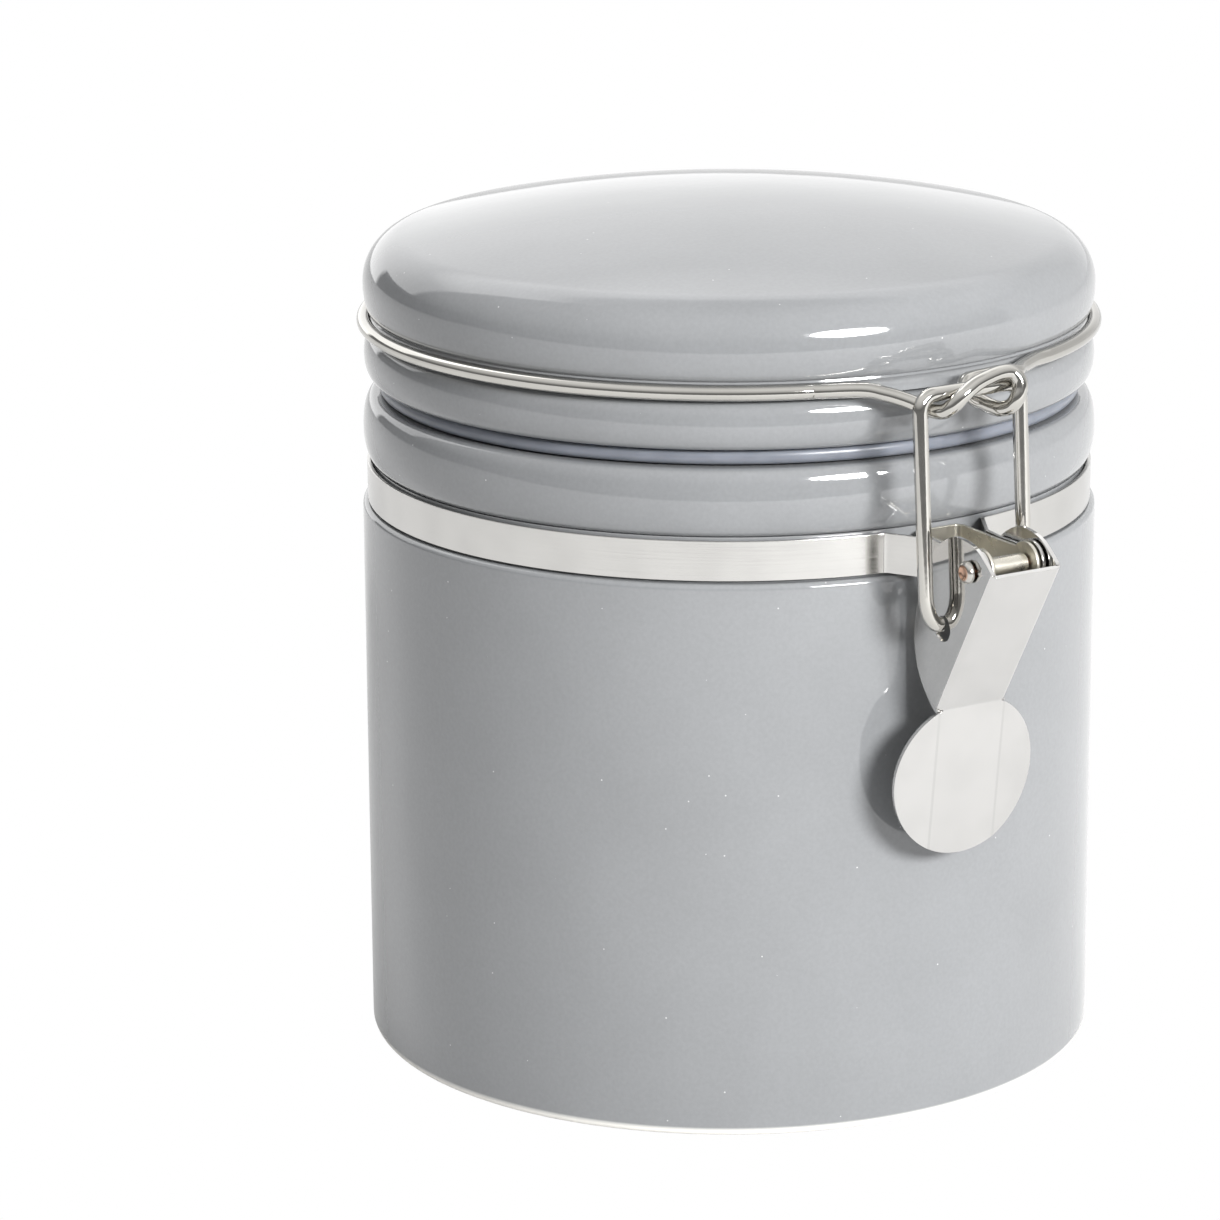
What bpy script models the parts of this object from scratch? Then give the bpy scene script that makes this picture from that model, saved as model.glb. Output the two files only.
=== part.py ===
"""Ceramic storage jar with a clamp lid.

Metres, +Z up. The jar's axis is Z and its foot stands on z = 0. The clasp is at the front (-Y)
and the lid's hinge at the back (+Y).
"""
import math

import bmesh
import bpy
from mathutils import Matrix, Vector

# Fits
SEAT_GAP = 0.0003          # between pieces that touch
RUN_GAP = 0.0003           # round a pin that turns
OVERRUN = 0.0040           # how far a cutter passes its work
MERGE = 0.00001

# Jar body
BODY_RADIUS = 0.0600
BODY_HEIGHT = 0.0899       # straight body, up to the band's groove
WALL = 0.0055
FOOT_THICKNESS = 0.0055
FOOT_ROUND = 0.0014
SHOULDER_ROUND = 0.0009
INNER_ROUND = 0.0060
GROOVE_DEPTH = 0.0017      # band groove, below the body's face
NECK_BEAD_HEIGHT = 0.0107
NECK_BEAD_INSET = 0.0003
BEAD_BULGE = 0.0022        # how far a bead swells past its roots
MOUTH_STEP = 0.0074        # from the body's face in to the mouth
RIM_ROUND = 0.0009

# Steel band
BAND_HEIGHT = 0.0063
BAND_THICKNESS = 0.0006
BAND_EDGE_GAP = 0.0004
EAR_SPREAD = 0.0091        # half the gap in the band where the ears leave it
EAR_NECK = 0.0050          # how far out of the band the ears have closed up
EAR_EYE_RADIUS = 0.0039
EAR_WAIST_HEIGHT = 0.0050
EAR_WAIST_REACH = 0.0080   # the ears' narrowest place, behind the rivet
EAR_STEP = 0.0002          # how much smaller the saddle's sides are
SADDLE_LIFT = 0.0006       # the saddle's web, out from the band's inner face
SADDLE_ROUND = 0.0012

# Lid
LID_INSET = 0.0006         # how much smaller in radius than the body
LID_BEAD_HEIGHT = 0.0077
LID_SIDE_DROP = 0.0047     # from the widest ring down to the wire groove
LID_FOOT_TUCK = 0.0012     # how far the lid's lower edge draws in
LID_SHOULDER_ROUND = 0.0080
LID_CROWN_RADIUS = 0.2400
LID_THICKNESS = 0.0070
HOLLOW_SHARES = (0.85, 0.6, 0.3)
PLUG_PLAY = 0.0028         # between the plug and the mouth
PLUG_DEPTH = 0.0095
PLUG_STRAIGHT = 0.0036
PLUG_TAPER = 0.0033
PLUG_WALL = 0.0060
PLUG_ROUND = 0.0010
GASKET_THICKNESS = 0.0022
GASKET_WIDTH = 0.0070
GASKET_LIP = 0.0006

# Wires
WIRE_DIAMETER = 0.0024
WIRE_SINK = 0.0001         # the lid wire's centre, inside the lid's radius
BAIL_HALF_WIDTH = 0.0093
BAIL_BAR_OUT = 0.0076      # bar's centre, outside the lid's radius
BAIL_CORNER = 0.0026
BAIL_SWEEP = 2.0           # height of the bend at a leg's foot, in shares of its width

# Clasp lever
PIVOT_OUT = 0.0164         # rivet's centre, outside the body's radius
LEVER_HALF_WIDTH = 0.00635
SHEET = 0.0007
PLATE_HEIGHT = 0.0249      # from the upper to the lower fold corner
PLATE_DEPTH = 0.0138
TAB_RADIUS = 0.01295
TAB_DROP = 0.0119          # lower fold to the disc's centre
TAB_LEAN_DEGREES = 6.8     # inwards, towards the jar
TAB_NECK = 0.0052          # half widths: where the tab meets the web, and at its creases
TAB_CREASE = 0.0061
TAB_WING_BEND = 0.0009
FOLD_ROUND = 0.0009
HOOK_HOLE_RADIUS = 0.0020

# Rivet and sleeve
RIVET_RADIUS = 0.0008
RIVET_HEAD_RADIUS = 0.00175
RIVET_HEAD_HEIGHT = 0.00105
SLEEVE_RADIUS = 0.0016

# Hinge at the back
BARREL_HALF_LENGTH = 0.0060
BARREL_WALL = 0.0007
BARREL_PLAY = 0.0004
HINGE_LEG_SPREAD = 0.0085
HINGE_BEND = 0.0022
WIRE_END_GAP = 0.0012

# Facets
TURN_STEPS = 56
ARC_STEPS = 8
BEAD_STEPS = 8
PIN_SIDES = 16
TUBE_STEPS = 2
RUN_STEPS = 3

# The lever's side plate, seen from the side: (outward, up) from the rivet, in shares of the
# plate's depth and height. The first point is the upper fold corner, the last the lower one.
PLATE_SHARES = [
    (0.449, 0.008), (0.130, 0.146), (-0.181, 0.186), (-0.384, 0.168), (-0.630, 0.082),
    (-0.790, -0.050), (-0.960, -0.280), (-1.040, -0.500), (-0.985, -0.705),
    (-0.840, -0.850), (-0.640, -0.968), (-0.551, -0.956),
]
HOOK_SHARES = (-0.500, -0.390)        # the bail's ends, which pull up in their holes

# Places that follow from the sizes
MOUTH_RADIUS = BODY_RADIUS - MOUTH_STEP
LID_RADIUS = BODY_RADIUS - LID_INSET
PLUG_RADIUS = MOUTH_RADIUS - PLUG_PLAY
WIRE_RADIUS = WIRE_DIAMETER / 2
GROOVE_RADIUS = BODY_RADIUS - GROOVE_DEPTH
BAND_INNER = GROOVE_RADIUS + SEAT_GAP
BAND_OUTER = BAND_INNER + BAND_THICKNESS
BAND_LOW = BODY_HEIGHT + BAND_EDGE_GAP
BAND_HIGH = BAND_LOW + BAND_HEIGHT
BAND_MID = (BAND_LOW + BAND_HIGH) / 2
NECK_LOW = BAND_HIGH + BAND_EDGE_GAP
RIM_HEIGHT = NECK_LOW + NECK_BEAD_HEIGHT
LID_LOW = RIM_HEIGHT + GASKET_THICKNESS + 2 * SEAT_GAP
WIRE_GROOVE_RADIUS = WIRE_RADIUS + SEAT_GAP
WIRE_HEIGHT = LID_LOW + LID_BEAD_HEIGHT + WIRE_GROOVE_RADIUS
WIRE_RING = LID_RADIUS - WIRE_SINK
LID_WIDEST = WIRE_HEIGHT + WIRE_GROOVE_RADIUS + LID_SIDE_DROP
PIVOT_R = BODY_RADIUS + PIVOT_OUT
PIVOT_Z = BAND_MID + BAND_THICKNESS
BAR_R = LID_RADIUS + BAIL_BAR_OUT
BARREL_RADIUS = WIRE_RADIUS + BARREL_PLAY + BARREL_WALL
HINGE_Y = BAND_OUTER + SEAT_GAP + BARREL_RADIUS
HINGE_Z = BAND_MID
PLATE_INNER = LEVER_HALF_WIDTH - SHEET
EAR_OUTER = PLATE_INNER - RUN_GAP
EAR_INNER = EAR_OUTER - BAND_THICKNESS
SADDLE_OUTER = EAR_INNER - RUN_GAP
SADDLE_INNER = SADDLE_OUTER - BAND_THICKNESS
PIN_HOLE_RADIUS = RIVET_RADIUS + RUN_GAP
HOOK_R = PIVOT_R + HOOK_SHARES[0] * PLATE_DEPTH
HOOK_Z = PIVOT_Z + HOOK_SHARES[1] * PLATE_HEIGHT

# The lid wire's front loop: (sideways, outward from the bar, up from the bar) in wire diameters.
# It comes from behind the bail's left leg, under the bar, and up in front of it to the right
# corner, curls down and back under the bar, turns behind it, and leaves over it to the right.
KNOT_SHARES = [
    (-5.83, -3.42, 0.00), (-4.75, -2.38, -0.21), (-3.75, -1.46, -0.58), (-2.88, -0.58, -1.04),
    (-2.29, 0.25, -1.13), (-1.83, 0.83, -0.67), (-1.25, 1.08, 0.00), (-0.25, 1.00, 0.54),
    (0.96, 0.83, 0.83), (1.92, 0.75, 0.96), (2.62, 0.79, 0.90), (3.08, 0.96, 0.50),
    (3.17, 1.08, -0.04), (2.92, 1.13, -0.71), (2.58, 0.88, -1.25), (2.21, 0.33, -1.50),
    (1.92, -0.33, -1.42), (1.62, -0.92, -1.21), (1.21, -1.42, -0.92), (1.04, -1.88, -0.46),
    (1.33, -2.27, -0.10), (1.96, -2.38, 0.02), (2.92, -2.29, 0.10), (3.92, -2.25, 0.17),
    (4.67, -2.25, 0.17), (5.42, -2.46, 0.04), (6.50, -3.38, 0.00),
]


def material(name, colour, roughness, metallic):
    """A plain Principled material."""
    made = bpy.data.materials.new(name)
    made.use_nodes = True
    shader = made.node_tree.nodes["Principled BSDF"]
    shader.inputs["Base Color"].default_value = (*colour, 1.0)
    shader.inputs["Roughness"].default_value = roughness
    shader.inputs["Metallic"].default_value = metallic
    return made


def start():
    """Clear the scene and make the two collections."""
    for thing in list(bpy.data.objects):
        bpy.data.objects.remove(thing, do_unlink=True)
    parts = bpy.data.collections.new("ceramic_storage_jar")
    cutters = bpy.data.collections.new("cutters")
    bpy.context.scene.collection.children.link(parts)
    bpy.context.scene.collection.children.link(cutters)
    return parts, cutters


PARTS, CUTTERS = start()


def add_object(name, data, collection):
    made = bpy.data.objects.new(name, data)
    collection.objects.link(made)
    return made


def finish(thing, finish_material, angle=math.radians(35)):
    """Give a piece its material and shade it smooth."""
    thing.data.materials.clear()
    thing.data.materials.append(finish_material)
    thing.data.shade_smooth()
    thing.data.set_sharp_from_angle(angle=angle)
    return thing


def hang(name, place, pieces):
    """An empty on a joint's axis, which carries the pieces that turn about it."""
    axle = bpy.data.objects.new(name, None)
    PARTS.objects.link(axle)
    axle.location = place
    for piece in pieces:
        piece.parent = axle
        piece.matrix_parent_inverse = Matrix.Translation(place).inverted()


def arc(centre, radius, start_degrees, end_degrees, steps, stretch=1.0):
    """Points on an arc, or on an ellipse where its height is stretched."""
    points = []
    for i in range(steps + 1):
        a = math.radians(start_degrees + (end_degrees - start_degrees) * i / steps)
        points.append((centre[0] + radius * math.cos(a), centre[1] + radius * stretch * math.sin(a)))
    return points


def bead(root, bulge, low, high, steps):
    """A full bead, from its top down to its foot."""
    middle, half = (low + high) / 2, (high - low) / 2
    points = []
    for i in range(steps + 1):
        a = math.radians(90 - 180 * i / steps)
        out = abs(math.cos(a)) ** 0.75
        points.append((root + bulge * out, middle + half * math.sin(a)))
    return points


def turned(name, profile, closed=False, steps=TURN_STEPS, collection=None):
    """A profile turned round Z. It runs down its outer side."""
    mesh = bpy.data.meshes.new(name)
    edges = [(i, i + 1) for i in range(len(profile) - 1)]
    if closed:
        edges.append((len(profile) - 1, 0))
    mesh.from_pydata([(r, 0.0, z) for r, z in profile], edges, [])
    made = add_object(name, mesh, collection or PARTS)
    screw = made.modifiers.new("turn", "SCREW")
    screw.steps = steps
    screw.render_steps = steps
    screw.use_merge_vertices = True
    screw.merge_threshold = MERGE
    return made


def as_mesh(thing, collection=None):
    """Swap an object for its evaluated, welded mesh with its place applied."""
    bpy.context.view_layer.update()
    graph = bpy.context.evaluated_depsgraph_get()
    mesh = bpy.data.meshes.new_from_object(thing.evaluated_get(graph))
    mesh.transform(thing.matrix_world)
    bm = bmesh.new()
    bm.from_mesh(mesh)
    bmesh.ops.remove_doubles(bm, verts=bm.verts, dist=MERGE)
    bmesh.ops.recalc_face_normals(bm, faces=bm.faces)
    bm.to_mesh(mesh)
    bm.free()
    name = thing.name
    bpy.data.objects.remove(thing, do_unlink=True)
    return add_object(name, mesh, collection or PARTS)


def poly_spline(curve, points, closed):
    spline = curve.splines.new("POLY")
    spline.points.add(len(points) - 1)
    for slot, point in zip(spline.points, points):
        slot.co = (*point, 1.0)
    spline.use_cyclic_u = closed
    return spline


def slab(name, outlines, low, high, frame, collection=None):
    """A flat outline, with any holes, given a thickness from low to high and placed by frame."""
    curve = bpy.data.curves.new(name, "CURVE")
    curve.dimensions = "2D"
    curve.fill_mode = "BOTH"
    curve.extrude = (high - low) / 2
    for outline in outlines:
        poly_spline(curve, [(x, y, 0.0) for x, y in outline], True)
    made = add_object(name, curve, collection or CUTTERS)
    made.matrix_world = frame @ Matrix.Translation((0, 0, (low + high) / 2))
    return as_mesh(made, collection or CUTTERS)


def ribbon(name, path, low, high, thickness, collection=None):
    """A strip that stands along a path in plan, given its thickness to the left of the path."""
    curve = bpy.data.curves.new(name, "CURVE")
    curve.dimensions = "2D"
    curve.fill_mode = "NONE"
    curve.extrude = (high - low) / 2
    poly_spline(curve, [(x, y, 0.0) for x, y in path], False)
    made = add_object(name, curve, collection or CUTTERS)
    made.location.z = (low + high) / 2
    made = as_mesh(made, collection or CUTTERS)
    wall = made.modifiers.new("wall", "SOLIDIFY")
    wall.thickness = thickness
    wall.offset = 0.0
    wall.use_even_offset = True
    return as_mesh(made, collection or CUTTERS)


def tube(name, points):
    """A round wire along points."""
    curve = bpy.data.curves.new(name, "CURVE")
    curve.dimensions = "3D"
    curve.bevel_depth = WIRE_RADIUS
    curve.bevel_resolution = TUBE_STEPS
    curve.use_fill_caps = True
    poly_spline(curve, points, False)
    return as_mesh(add_object(name, curve, PARTS))


def cylinder(name, radius, length, centre, sides=PIN_SIDES, collection=None):
    """A cylinder along X."""
    mesh = bpy.data.meshes.new(name)
    bm = bmesh.new()
    bmesh.ops.create_cone(bm, cap_ends=True, segments=sides, radius1=radius, radius2=radius,
                          depth=length, matrix=Matrix.Rotation(math.radians(90), 4, "Y"))
    bmesh.ops.translate(bm, verts=bm.verts, vec=centre)
    bm.to_mesh(mesh)
    bm.free()
    return add_object(name, mesh, collection or CUTTERS)


def combine(target, tool, operation):
    """Apply an exact boolean to the target and keep the tool as a cutter."""
    cut = target.modifiers.new("cut", "BOOLEAN")
    cut.operation = operation
    cut.object = tool
    collection = target.users_collection[0]
    made = as_mesh(target, collection)
    tool.hide_render = True
    tool.display_type = "WIRE"
    return made


def smooth_run(points, steps, closed=False):
    """A smooth curve through the points."""
    count = len(points)
    places = [Vector(p) for p in points]
    made = []
    for i in range(count if closed else count - 1):
        a, b, c, d = (places[k % count] if closed else places[min(max(k, 0), count - 1)]
                      for k in (i - 1, i, i + 1, i + 2))
        for k in range(steps):
            u = k / steps
            point = (2 * b + (c - a) * u + (2 * a - 5 * b + 4 * c - d) * u * u
                     + (3 * b - a - 3 * c + d) * u ** 3) / 2
            made.append(tuple(point))
    if not closed:
        made.append(tuple(places[-1]))
    return made


# Side frame: outline x runs outward (-Y), outline y up, and the thickness runs along X
SIDE = Matrix(((0, 0, 1, 0), (-1, 0, 0, 0), (0, 1, 0, 0), (0, 0, 0, 1)))


def side_frame(outward, up):
    return Matrix.Translation((0, -outward, up)) @ SIDE


def circle(centre, radius, sides):
    return [(centre[0] + radius * math.cos(2 * math.pi * i / sides),
             centre[1] + radius * math.sin(2 * math.pi * i / sides)) for i in range(sides)]


def make_jar_body(glaze):
    """The turned jar: straight body, groove for the band, neck bead and rim."""
    inner = BODY_RADIUS - WALL
    neck_radius = BODY_RADIUS - NECK_BEAD_INSET
    profile = [(0.0, FOOT_THICKNESS)]
    profile += arc((inner - INNER_ROUND, FOOT_THICKNESS + INNER_ROUND), INNER_ROUND, -90, 0, 5)
    profile += [(inner, BODY_HEIGHT - WALL), (MOUTH_RADIUS, BODY_HEIGHT + WALL)]
    profile += arc((MOUTH_RADIUS + RIM_ROUND, RIM_HEIGHT - RIM_ROUND), RIM_ROUND, 180, 90, 3)
    profile += bead(neck_radius - BEAD_BULGE, BEAD_BULGE, NECK_LOW, RIM_HEIGHT, BEAD_STEPS + 2)
    profile += [(GROOVE_RADIUS, NECK_LOW), (GROOVE_RADIUS, BODY_HEIGHT)]
    profile += arc((BODY_RADIUS - SHOULDER_ROUND, BODY_HEIGHT - SHOULDER_ROUND),
                   SHOULDER_ROUND, 90, 0, 3)
    profile += arc((BODY_RADIUS - FOOT_ROUND, FOOT_ROUND), FOOT_ROUND, 0, -90, 4)
    profile += [(0.0, 0.0)]
    return finish(turned("jar_body", profile), glaze)


def make_lid(glaze):
    """The turned lid: low crown, side, wire groove, lower bead, and a hollow plug."""
    side = LID_RADIUS - LID_SHOULDER_ROUND
    rise = math.sqrt((LID_CROWN_RADIUS - LID_SHOULDER_ROUND) ** 2 - side ** 2)
    crown_z = LID_WIDEST - rise
    lean = math.degrees(math.atan2(side, rise))
    apex = crown_z + LID_CROWN_RADIUS
    profile = [(0.0, apex)]
    profile += arc((0.0, crown_z), LID_CROWN_RADIUS, 90 - lean / 5, 90 - lean, 4)
    profile += arc((side, LID_WIDEST), LID_SHOULDER_ROUND, 90 - lean, 0, ARC_STEPS - 1)[1:]
    profile += arc((LID_RADIUS - LID_FOOT_TUCK, LID_WIDEST), LID_FOOT_TUCK, 0, -90, 4,
                   LID_SIDE_DROP / LID_FOOT_TUCK)[1:]
    profile += arc((WIRE_RING, WIRE_HEIGHT), WIRE_GROOVE_RADIUS, 130, 230, 5)
    profile += bead(LID_RADIUS - BEAD_BULGE, BEAD_BULGE, LID_LOW,
                    WIRE_HEIGHT - WIRE_GROOVE_RADIUS, BEAD_STEPS)
    plug_low = LID_LOW - PLUG_DEPTH
    plug_tip = PLUG_RADIUS - PLUG_TAPER
    profile += [(PLUG_RADIUS, LID_LOW), (PLUG_RADIUS, LID_LOW - PLUG_STRAIGHT)]
    profile += arc((plug_tip - PLUG_ROUND, plug_low + PLUG_ROUND), PLUG_ROUND, 0, -90, 2)
    inner = plug_tip - PLUG_WALL
    profile += [(inner, plug_low), (inner, LID_LOW + PLUG_ROUND)]
    hollow_crown = apex - LID_THICKNESS
    for share in HOLLOW_SHARES:
        profile.append((inner * share, hollow_crown - LID_THICKNESS * share ** 4))
    profile.append((0.0, hollow_crown))
    return finish(turned("lid", profile), glaze)


def make_gasket(silicone):
    """The flat sealing ring on the plug, its outer face cupped into two lips."""
    low, high = RIM_HEIGHT + SEAT_GAP, LID_LOW - SEAT_GAP
    inner = PLUG_RADIUS + SEAT_GAP
    outer = inner + GASKET_WIDTH
    middle = (low + high) / 2
    profile = [(inner, high), (outer - GASKET_LIP, high), (outer, high - GASKET_LIP / 2),
               (outer - GASKET_LIP, middle), (outer, low + GASKET_LIP / 2),
               (outer - GASKET_LIP, low), (inner, low)]
    return finish(turned("lid_gasket", profile, closed=True), silicone)


def trim_outlines(radius, inset, back):
    """Side outlines of what is cut off a strip with ears: everything but the strip, its waist
    and the round eye at the rivet."""
    low, high = BAND_LOW - PIVOT_Z + inset, BAND_HIGH - PIVOT_Z - inset
    neck = -(PIVOT_R - BODY_RADIUS)
    waist = -EAR_WAIST_REACH
    half = EAR_WAIST_HEIGHT / 2 - inset
    turn = 180 - math.degrees(math.asin(half / radius))
    keep = [(back - OVERRUN, low), (back - OVERRUN, high), (neck, high), (waist, half)]
    keep += arc((0.0, 0.0), radius, turn, -turn, 16)
    keep += [(waist, -half), (neck, low)]
    far = -back + OVERRUN
    block = [(-far - OVERRUN, -far), (far, -far), (far, far), (-far - OVERRUN, far)]
    return [block, keep]


def eared_strip(name, path, radius, inset, back, width):
    """A strip on edge along a plan path, trimmed to its outline and drilled for the rivet."""
    strip = ribbon(name, path, PIVOT_Z - radius - inset, PIVOT_Z + radius + inset, BAND_THICKNESS)
    trim = slab(name + "_trim", trim_outlines(radius, inset, back), -width, width,
                side_frame(PIVOT_R, PIVOT_Z))
    strip = combine(strip, trim, "DIFFERENCE")
    pin = cylinder(name + "_drill", PIN_HOLE_RADIUS, 2 * width, (0, -PIVOT_R, PIVOT_Z))
    strip = combine(strip, pin, "DIFFERENCE")
    CUTTERS.objects.unlink(strip)
    PARTS.objects.link(strip)
    return strip


def make_band(steel):
    """The steel strip round the neck, its ends bent out into two ears for the rivet."""
    line = (BAND_INNER + BAND_OUTER) / 2
    ear = (EAR_INNER + EAR_OUTER) / 2
    gap_angle = math.asin(EAR_SPREAD / line)
    ring = [(line * math.cos(a), line * math.sin(a)) for a in
            (-math.pi / 2 + gap_angle + (2 * math.pi - 2 * gap_angle) * i / TURN_STEPS
             for i in range(TURN_STEPS + 1))]
    tip = PIVOT_R + EAR_EYE_RADIUS + OVERRUN
    neck = BODY_RADIUS + EAR_NECK
    path = [(ear, -tip), (ear, -neck)] + ring + [(-ear, -neck), (-ear, -tip)]
    band = eared_strip("neck_band", path, EAR_EYE_RADIUS, 0.0, -(PIVOT_R + BODY_RADIUS),
                       BODY_RADIUS + OVERRUN)
    return finish(band, steel)


def make_saddle(steel):
    """The bent plate inside the ears: its web closes the band's gap, its sides hold the rivet."""
    side = (SADDLE_INNER + SADDLE_OUTER) / 2
    web = BAND_INNER + SADDLE_LIFT
    tip = PIVOT_R + EAR_EYE_RADIUS + OVERRUN
    corner = arc((side - SADDLE_ROUND, -(web + SADDLE_ROUND)), SADDLE_ROUND, 0, 90, 3)
    path = [(side, -tip)] + corner + [(-x, y) for x, y in reversed(corner)] + [(-side, -tip)]
    saddle = eared_strip("clasp_saddle", path, EAR_EYE_RADIUS - EAR_STEP, EAR_STEP / 2,
                         -(PIVOT_R - BODY_RADIUS + 2 * GROOVE_DEPTH), EAR_SPREAD)
    return finish(saddle, steel)


def make_sleeve(steel):
    """The spacer tube on the rivet, between the saddle's sides."""
    length = 2 * (SADDLE_INNER - SEAT_GAP)
    at = (0, -PIVOT_R, PIVOT_Z)
    sleeve = cylinder("pivot_sleeve", SLEEVE_RADIUS, length, at, collection=PARTS)
    bore = cylinder("sleeve_bore", PIN_HOLE_RADIUS, length + OVERRUN, at)
    return finish(combine(sleeve, bore, "DIFFERENCE"), steel)


def make_rivet(copper):
    """The rivet: a shank with a domed head at each end, turned as one piece."""
    reach = LEVER_HALF_WIDTH + RUN_GAP
    head = arc((0.0, reach), RIVET_HEAD_RADIUS, 90, 0, 4, RIVET_HEAD_HEIGHT / RIVET_HEAD_RADIUS)
    head[0] = (0.0, reach + RIVET_HEAD_HEIGHT)
    half = head + [(RIVET_RADIUS, reach)]
    profile = half + [(r, -z) for r, z in reversed(half)]
    rivet = turned("pivot_rivet", profile, steps=PIN_SIDES)
    rivet.rotation_euler.y = math.radians(90)
    rivet.location = (0, -PIVOT_R, PIVOT_Z)
    return finish(as_mesh(rivet), copper)


def make_hinge_clip(steel):
    """The clip at the back: a plate on the band with a barrel rolled along it."""
    bore = WIRE_RADIUS + BARREL_PLAY
    plate_back = -BARREL_RADIUS
    plate_front = plate_back + BARREL_WALL
    meet = math.degrees(math.acos(plate_front / BARREL_RADIUS))
    half = BAND_HEIGHT / 2
    outline = [(plate_back, -half), (plate_back, half), (plate_front, half)]
    outline += list(reversed(arc((0.0, 0.0), BARREL_RADIUS, -meet, meet, 12)))
    outline += [(plate_front, -half)]
    frame = Matrix.Translation((0, HINGE_Y, HINGE_Z)) @ Matrix(
        ((0, 0, 1, 0), (1, 0, 0, 0), (0, 1, 0, 0), (0, 0, 0, 1)))
    clip = slab("hinge_clip", [outline, circle((0.0, 0.0), bore, PIN_SIDES)],
                -BARREL_HALF_LENGTH, BARREL_HALF_LENGTH, frame, PARTS)
    return finish(clip, steel)


def ring_point(degrees):
    """A point on the lid wire's ring, by its angle from the front."""
    a = math.radians(degrees)
    return (WIRE_RING * math.sin(a), -WIRE_RING * math.cos(a), WIRE_HEIGHT)


def hinge_end(side):
    """One end of the lid wire, from its tip in the barrel up its leg to the ring."""
    x = side * HINGE_LEG_SPREAD
    inward = -side
    points = [(side * WIRE_END_GAP / 2, HINGE_Y, HINGE_Z)]
    points += [(x + inward * (HINGE_BEND - out), HINGE_Y, HINGE_Z + HINGE_BEND - down)
               for out, down in arc((0.0, 0.0), HINGE_BEND, 90, 0, 4)]
    top = WIRE_HEIGHT - HINGE_BEND
    elbow = (x, HINGE_Y - WIRE_RADIUS / 3, WIRE_HEIGHT - WIRE_RADIUS / 3)
    out = (x + side * WIRE_DIAMETER, WIRE_RING, WIRE_HEIGHT)
    return points + smooth_run([(x, HINGE_Y, top), elbow, out], RUN_STEPS)


def make_lid_wire(nickel):
    """The wire in the lid's groove, with its loop at the front and two hinge legs behind."""
    knot = [(x * WIRE_DIAMETER, -(BAR_R + out * WIRE_DIAMETER), WIRE_HEIGHT + up * WIRE_DIAMETER)
            for x, out, up in KNOT_SHARES]
    left = [ring_point(a) for a in range(-162, -18, 6)]
    right = [ring_point(a) for a in range(24, 163, 6)]
    front = smooth_run(left[-1:] + [ring_point(-20)] + knot + [ring_point(20)] + right[:1],
                       RUN_STEPS)
    route = hinge_end(-1) + left[:-1] + front + right[1:] + list(reversed(hinge_end(1)))
    return finish(tube("lid_wire", route), nickel)


def make_bail(nickel):
    """The bail: a bar through the lid wire's loop, two legs, and ends bent in to the lever."""
    tip_x = LEVER_HALF_WIDTH + SEAT_GAP
    start_x = tip_x + SEAT_GAP
    inset = BAIL_HALF_WIDTH - start_x
    lean = (BAR_R - HOOK_R) / (WIRE_HEIGHT - HOOK_Z)
    bend = arc((start_x, HOOK_Z + BAIL_SWEEP * inset), inset, -90, 0, 6, BAIL_SWEEP)
    half = [(x, HOOK_R + lean * (z - HOOK_Z), z) for x, z in [(tip_x, HOOK_Z)] + bend]
    corner = arc((BAIL_HALF_WIDTH - BAIL_CORNER, WIRE_HEIGHT - BAIL_CORNER), BAIL_CORNER, 0, 90, 5)
    half += [(x, BAR_R + lean * (z - WIRE_HEIGHT), z) for x, z in corner]
    points = [(-x, -r, z) for x, r, z in half] + [(x, -r, z) for x, r, z in reversed(half)]
    return finish(tube("bail", points), nickel)


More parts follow.
